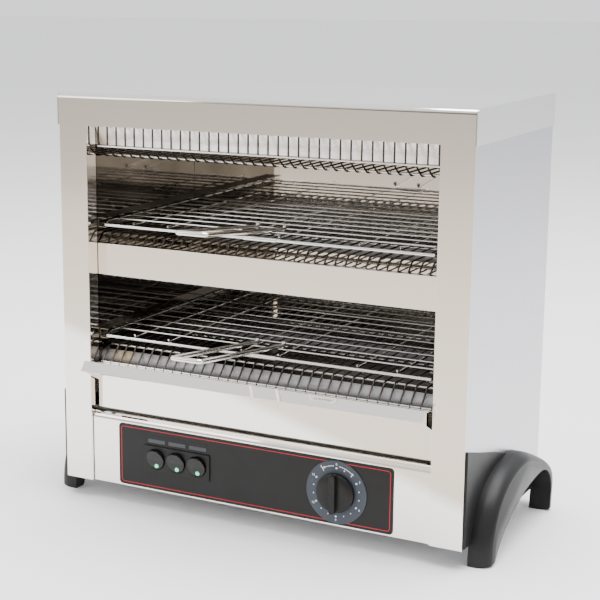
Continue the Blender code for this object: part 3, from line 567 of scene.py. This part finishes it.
def foot_curves():
    """(depth, height) in mm along the arch's outside from front to back, then its inside from back to front."""
    outer = bezier((16.5, 0), (16.5, 63), (58, 90), (118, 91), 40)
    outer += bezier((118, 91), (140, 91), (169, 79.2), (193.9, 68.5), 14)[1:]
    outer += bezier((193.9, 68.5), (215, 59.5), (231, 52), (231, 30), 20)[1:] + [(228, 0)]
    inner = [(213, 0)] + bezier((215.5, 22), (216.5, 43), (200, 57), (174.5, 57), 16)
    inner += bezier((174.5, 57), (104, 55), (47, 30), (32, 0), 36)[1:]
    return [[(d * MM, h * MM) for d, h in curve] for curve in (outer, inner)]


def normals(curve):
    """Unit normals on the left of a curve."""
    found = []
    for i in range(len(curve)):
        before, after = Vector(curve[max(i - 1, 0)]), Vector(curve[min(i + 1, len(curve) - 1)])
        run = (after - before).normalized()
        found.append((-run.y, run.x))
    return found


def make_foot(side, node):
    """The moulded arch, lofted outwards over its rounded flank, and the flat plate behind it."""
    low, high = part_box(node)
    outer_x = max(abs(low[0]), abs(high[0]))
    plate_x = min(abs(low[0]), abs(high[0]))
    outer, inner = foot_curves()
    outer_out, inner_out = normals(outer), normals(inner)
    sections = [(plate_x, 0.0, 0.0, 0.0)]
    for i in range(FLANK_STEPS):
        turn = math.radians(90 * i / FLANK_STEPS)
        slip = 1 - math.cos(turn)
        x = outer_x - FLANK_WIDE * (1 - math.sin(turn))
        sections.append((x, FLANK_DEEP * slip, 0.0, SOLE_RISE * slip))
    sections.append((outer_x - 0.0003, FLANK_DEEP + 0.0003, 0.0003, SOLE_RISE))
    sections.append((outer_x, FLANK_DEEP + 0.0009, 0.0009, SOLE_RISE + 0.0002))
    bm = bmesh.new()
    rings = []
    for x, inset, inset_in, sole in sections:
        loop = [(d - n[0] * inset, h - n[1] * inset) for (d, h), n in zip(outer, outer_out)]
        loop += [(d - n[0] * inset_in, h - n[1] * inset_in) for (d, h), n in zip(inner, inner_out)]
        rings.append([bm.verts.new((side * x, FRONT + d, max(sole, h))) for d, h in loop])
    skin(bm, rings)
    close_ends(bm, rings)
    put(mesh_object(node + "_arch", bm, 50), "casing", FOOT_PLASTIC, "foot_plastic", node)

    bm = bmesh.new()
    outline = [(y_at(d), h * MM) for d, h in PLATE_OUTLINE]
    prism(bm, outline, 0, side * plate_x, side * (plate_x + PLATE_THICK))
    put(soften(mesh_object(node + "_plate", bm), 0.0007, 3, 30), "casing", FOOT_PLASTIC, "foot_plastic")


# Controls: a label window over each switch, and the dial's marks, as heights and distances from the dial's centre
LABEL_HALF, LABEL_LOW, LABEL_HIGH = 0.0108, 0.0773, 0.0814
FRAME_HALF, FRAME_LOW, FRAME_HIGH = 0.0118, 0.0764, 0.0866
DIAL_STEP, DIAL_MARKS, DIAL_NUMBERED = 20, 16, 3
DOT_REACH, NUMERAL_REACH, NUMERAL_SIZE = 0.0262, 0.0303, 0.0036
ARROW_INNER, ARROW_OUTER, HEAD_INNER, HEAD_OUTER = 0.0283, 0.0289, 0.0272, 0.0300
ARROWS = ((84, 52), (96, 118))
STOP_TICK = ((0.0255, 123.2), (0.0320, 123.2), (0.0320, 124.6), (0.0255, 124.6))
INK_LIFT = -0.00006


def strip_loop(bm, outline, width, y_back, y_front):
    """A closed band of the given width inside an outline, as a thin raised line."""
    count = len(outline)
    inner = []
    for i in range(count):
        before, after = Vector(outline[i - 1]), Vector(outline[(i + 1) % count])
        run = (after - before).normalized()
        inner.append((outline[i][0] - run.y * width, outline[i][1] + run.x * width))
    rings = [
        [bm.verts.new((p, y_back, q)) for p, q in outline],
        [bm.verts.new((p, y_front, q)) for p, q in outline],
        [bm.verts.new((p, y_front, q)) for p, q in inner],
        [bm.verts.new((p, y_back, q)) for p, q in inner],
    ]
    skin(bm, rings + rings[:1])


def make_overlay_marks():
    """The overlay's border line, and a blank window in a dark frame over each switch."""
    low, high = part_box("control_overlay")
    face, inset = low[1], 0.0030
    bm = bmesh.new()
    outline = rounded_outline((low[0] + inset, low[2] + inset), (high[0] - inset, high[2] - inset), 0.0035)
    strip_loop(bm, outline, 0.0007, face + 0.0001, face - 0.00008)
    put(mesh_object("overlay_border", bm), "casing", BORDER_INK, "overlay_film")
    for i in (1, 2, 3):
        button_low, button_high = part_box(f"switch_button_{i}")
        centre = (button_low[0] + button_high[0]) / 2
        bm = bmesh.new()
        outline = rounded_outline((centre - LABEL_HALF, LABEL_LOW), (centre + LABEL_HALF, LABEL_HIGH), 0.0004, 3)
        prism(bm, outline, 1, face + 0.0001, face - 0.00008)
        put(mesh_object(f"switch_label_{i}", bm), "casing", LABEL_FILM, "overlay_film")
        bm = bmesh.new()
        outline = rounded_outline((centre - FRAME_HALF, FRAME_LOW), (centre + FRAME_HALF, FRAME_HIGH), 0.0005, 3)
        strip_loop(bm, outline, 0.0006, face + 0.0001, face - 0.00006)
        put(mesh_object(f"switch_label_frame_{i}", bm), "casing", FRAME_INK, "overlay_film")


def text_mesh(name, words, size, place, depth):
    """Generic dial numeral as a thin mesh facing the user."""
    data = bpy.data.curves.new(name, "FONT")
    data.body = words
    data.size = size
    data.align_x = "CENTER"
    data.align_y = "CENTER"
    data.extrude = depth
    source = bpy.data.objects.new(name + "_source", data)
    bpy.context.scene.collection.objects.link(source)
    bpy.context.view_layer.update()
    mesh = bpy.data.meshes.new_from_object(source.evaluated_get(bpy.context.evaluated_depsgraph_get()))
    bpy.data.objects.remove(source)
    mesh.transform(Matrix.Translation(place) @ Matrix.Rotation(math.radians(90), 4, "X"))
    return mesh


def make_dial():
    """The slate disc with a generic scale: dots, a numeral at each third one, and an arrow each way from nought."""
    low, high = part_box("timer_dial")
    centre = Vector(((low[0] + high[0]) / 2, high[1], (low[2] + high[2]) / 2))
    radius, thick = (high[0] - low[0]) / 2, high[1] - low[1]
    bm = bmesh.new()
    edge = 0.0003
    revolve(bm, [(0, 0), (radius, 0), (radius, -thick + edge), (radius - edge, -thick), (0, -thick)], 96, centre)
    put(mesh_object("timer_dial_disc", bm), "casing", DIAL_PLASTIC, "dial_plastic", "timer_dial")
    face = low[1]

    def spot(reach, angle, lift):
        turn = math.radians(angle)
        return Vector((centre.x + reach * math.cos(turn), face + lift, centre.z + reach * math.sin(turn)))

    def printed(*places):
        add_mark(bm, [spot(reach, angle, INK_LIFT) for reach, angle in places])

    bm = bmesh.new()
    for i in range(DIAL_MARKS):
        size = 0.0011 if i % DIAL_NUMBERED == 0 else 0.0007
        place = spot(DOT_REACH, 90 - DIAL_STEP * i, 0.0001)
        revolve(bm, [(0, 0), (size, 0), (size, -0.00018), (0, -0.00018)], 12, place)
    put(mesh_object("timer_dial_dots", bm), "casing", MARK_INK, "dial_plastic")
    bm = bmesh.new()
    for i in range(0, DIAL_MARKS, DIAL_NUMBERED):
        place = spot(NUMERAL_REACH, 90 - DIAL_STEP * i, -0.00005)
        bm.from_mesh(text_mesh(f"numeral_{i}", str(i), NUMERAL_SIZE, place, 0.0001))
    put(mesh_object("timer_dial_numerals", bm), "casing", MARK_INK, "dial_plastic")
    bm = bmesh.new()
    for start, end in ARROWS:
        steps = 12
        sweep = [start + (end - start) * i / steps for i in range(steps + 1)]
        tip = end + math.copysign(4.5, end - start)
        for a, b in zip(sweep, sweep[1:]):
            printed((ARROW_INNER, a), (ARROW_OUTER, a), (ARROW_OUTER, b), (ARROW_INNER, b))
        printed((HEAD_INNER, end), (HEAD_OUTER, end), ((ARROW_INNER + ARROW_OUTER) / 2, tip))
    printed(*STOP_TICK)
    put(mesh_object("timer_dial_arrows", bm), "casing", MARK_INK, "dial_plastic")


def add_mark(bm, corners):
    """A thin printed shape that stands a little proud of the dial."""
    rings = [[bm.verts.new(corner + Vector((0, depth, 0))) for corner in corners] for depth in (0, 0.00012)]
    skin(bm, rings)
    close_ends(bm, rings)


def make_knob():
    """A shallow domed disc on a spindle, with a narrow grip across it."""
    low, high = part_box("timer_knob")
    joint = next(j for j in frame["joints"] if j["child"] == "timer_knob")
    centre = Vector(joint["pos_m"])
    radius = (high[0] - low[0]) / 2
    top = low[1] - centre.y
    bm = bmesh.new()
    spindle, reach = 0.0029, 0.0098
    profile = [(0, reach), (spindle, reach), (spindle, 0.0)]
    profile += [(radius - 0.0006, 0.0), (radius, -0.0006), (radius, -0.0030)]
    profile += arc((radius - 0.0012, -0.0034), 0.0010, 0, -70, 5)
    profile += [(radius - 0.0026, -0.0050), (radius - 0.0042, -0.0057), (radius * 0.55, -0.0060), (0, -0.0060)]
    revolve(bm, profile, 96, centre)
    half, end = 0.0033, radius - 0.0005
    grip = rounded_outline((-half, -end), (half, end), 0.0028, 8)
    outline = [(centre.x + p, centre.z + q) for p, q in grip]
    prism(bm, outline, 1, centre.y - 0.004, centre.y + top)
    knob = mesh_object("timer_knob_body", bm, 40)
    put(soften(knob, 0.0007, 4, 50), "timer_knob", KNOB_PLASTIC, "knob_plastic", "timer_knob")


def make_lamps():
    """Domed green lenses that ride on the rockers."""
    for i in (1, 2, 3):
        name = f"switch_lamp_{i}"
        low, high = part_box(name)
        centre = Vector(((low[0] + high[0]) / 2, high[1], (low[2] + high[2]) / 2))
        radius, length = (high[0] - low[0]) / 2, high[1] - low[1]
        rise = 0.0009
        turns = [math.radians(a) for a in range(0, 90, 15)]
        dome = [(radius * math.cos(a), -(length - rise) - rise * math.sin(a)) for a in turns]
        bm = bmesh.new()
        revolve(bm, [(0, 0), (radius, 0)] + dome + [(0, -length)], 32, centre)
        put(mesh_object(name + "_lens", bm), f"switch_{i}", LAMP, "lamp_lens", name)


# ---------------------------------------------------------------- carried-over nodes

FINISHES = {
    "top_cover": COVER_STEEL,
    "left_side_panel": SIDE_STEEL,
    "right_side_panel": SIDE_STEEL,
    "rear_panel": REAR_STEEL,
    "base_plate": REAR_STEEL,
    "electrics_shield": TRAY_STEEL,
    "control_panel": FRONT_STEEL,
    "middle_crossbar": FRONT_STEEL,
    "crumb_tray_front": FRONT_STEEL,
    "crumb_tray": TRAY_STEEL,
    "left_inner_wall": WALL_STEEL,
    "right_inner_wall": WALL_STEEL,
    "chamber_back_wall": BACK_STEEL,
    "top_reflector": REFLECTOR_STEEL,
    "lower_left_runner": WALL_STEEL,
    "lower_right_runner": WALL_STEEL,
    "upper_left_runner": WALL_STEEL,
    "upper_right_runner": WALL_STEEL,
    "control_overlay": OVERLAY_FILM,
    "switch_plate": BLACK_PLASTIC,
    "switch_block": BLACK_PLASTIC,
    "timer_body": REAR_STEEL,
    "cord_gland": BLACK_PLASTIC,
    "terminal_block": CERAMIC,
}
SOFTENED = {
    "top_cover": 0.0004,
    "left_side_panel": 0.0005,
    "right_side_panel": 0.0005,
    "control_panel": 0.0003,
    "middle_crossbar": 0.0005,
    "crumb_tray_front": 0.0004,
    "switch_plate": 0.0003,
    "cord_gland": 0.0004,
}


def finish_nodes():
    for name, node in NODES.items():
        if name.endswith("_cap"):
            material = CERAMIC
        elif name.startswith("switch_button"):
            material = SWITCH_PLASTIC
        else:
            material = FINISHES.get(name)
        if material is None:
            continue
        node.data.materials.clear()
        node.data.materials.append(material)
        if name in SOFTENED:
            soften(node, SOFTENED[name])
        elif name.startswith("switch_button"):
            soften(node, 0.0006, 3)


# ---------------------------------------------------------------- stage, light and camera


def make_stage():
    bm = bmesh.new()
    half = 20.0
    bm.faces.new([bm.verts.new(p) for p in ((-half, -half, 0), (half, -half, 0), (half, half, 0), (-half, half, 0))])
    floor = mesh_object("floor", bm)
    floor.data.materials.append(floor_material())


def area_light(name, place, target, size, power, colour=(1, 1, 1)):
    data = bpy.data.lights.new(name, "AREA")
    data.shape = "RECTANGLE"
    data.size, data.size_y = size
    data.energy = power
    data.color = colour
    lamp = bpy.data.objects.new(name, data)
    lamp.location = place
    lamp.rotation_euler = (Vector(target) - Vector(place)).to_track_quat("-Z", "Y").to_euler()
    bpy.context.scene.collection.objects.link(lamp)


# Light: the room's strength, and the lamps' power in watts
ROOM_STRENGTH, OVERHEAD_POWER, LEFT_FRONT_POWER = 1.35, 185.0, 14.0


def make_light():
    """A white room that is dimmer near the horizon in front, with a large soft lamp overhead and one at the left."""
    world = bpy.data.worlds.new("studio")
    world.use_nodes = True
    tree = world.node_tree
    direction = tree.nodes.new("ShaderNodeTexCoord").outputs["Generated"]
    parts = tree.nodes.new("ShaderNodeSeparateXYZ")
    tree.links.new(direction, parts.inputs["Vector"])

    def smooth(axis, low, high):
        node = tree.nodes.new("ShaderNodeMapRange")
        node.interpolation_type = "SMOOTHSTEP"
        node.inputs["From Min"].default_value = low
        node.inputs["From Max"].default_value = high
        tree.links.new(parts.outputs[axis], node.inputs["Value"])
        return node.outputs["Result"]

    bright = tree.nodes.new("ShaderNodeMath")
    bright.operation = "MAXIMUM"
    tree.links.new(smooth("Z", 0.10, 0.32), bright.inputs[0])
    tree.links.new(smooth("Y", -0.35, 0.15), bright.inputs[1])
    shade = tree.nodes.new("ShaderNodeMix")
    shade.data_type = "RGBA"
    shade.inputs["A"].default_value = (0.16, 0.14, 0.12, 1.0)
    shade.inputs["B"].default_value = (0.98, 0.99, 1.0, 1.0)
    tree.links.new(bright.outputs[0], shade.inputs["Factor"])
    background = tree.nodes["Background"]
    tree.links.new(shade.outputs["Result"], background.inputs["Color"])
    background.inputs["Strength"].default_value = ROOM_STRENGTH
    bpy.context.scene.world = world
    area_light("overhead", (0.3, 0.2, 2.6), (0, 0, 0.2), (2.4, 2.2), OVERHEAD_POWER)
    area_light("left_front", (-1.8, -1.7, 1.3), (0, 0, 0.2), (1.4, 1.2), LEFT_FRONT_POWER, (1.0, 0.97, 0.93))


# Camera: angles in degrees, place in metres, sensor and lens in mm, shift as a share of the picture's width
CAMERA_YAW, CAMERA_PITCH, CAMERA_ROLL = 30.13, 12.22, -0.20
CAMERA_PLACE = (0.71219, -1.38396, 0.57557)
CAMERA_SENSOR, CAMERA_LENS = 36.0, 88.698
CAMERA_SHIFT = (0.1605, 1 / 240)


def make_camera():
    data = bpy.data.cameras.new("camera")
    data.sensor_width = CAMERA_SENSOR
    data.lens = CAMERA_LENS
    data.shift_x, data.shift_y = CAMERA_SHIFT
    data.clip_end = 100.0
    yaw, pitch, roll = (math.radians(a) for a in (CAMERA_YAW, CAMERA_PITCH, CAMERA_ROLL))
    ahead = Vector((-math.sin(yaw) * math.cos(pitch), math.cos(yaw) * math.cos(pitch), -math.sin(pitch)))
    right = Vector((math.cos(yaw), math.sin(yaw), 0))
    up = right.cross(ahead)
    right, up = right * math.cos(roll) + up * math.sin(roll), up * math.cos(roll) - right * math.sin(roll)
    camera = bpy.data.objects.new("camera", data)
    turn = Matrix((right, up, -ahead)).transposed().to_4x4()
    camera.matrix_world = Matrix.Translation(CAMERA_PLACE) @ turn
    bpy.context.scene.collection.objects.link(camera)
    bpy.context.scene.camera = camera


make_camera()
finish_nodes()
make_guards()
for deck, grip_reach in HANDLE_REACHES:
    make_rack(deck)
    make_handle(deck, grip_reach)
make_tubes()
make_foot(-1, "left_foot")
make_foot(1, "right_foot")
make_overlay_marks()
make_dial()
make_knob()
make_lamps()
make_stage()
make_light()

bpy.context.view_layer.update()
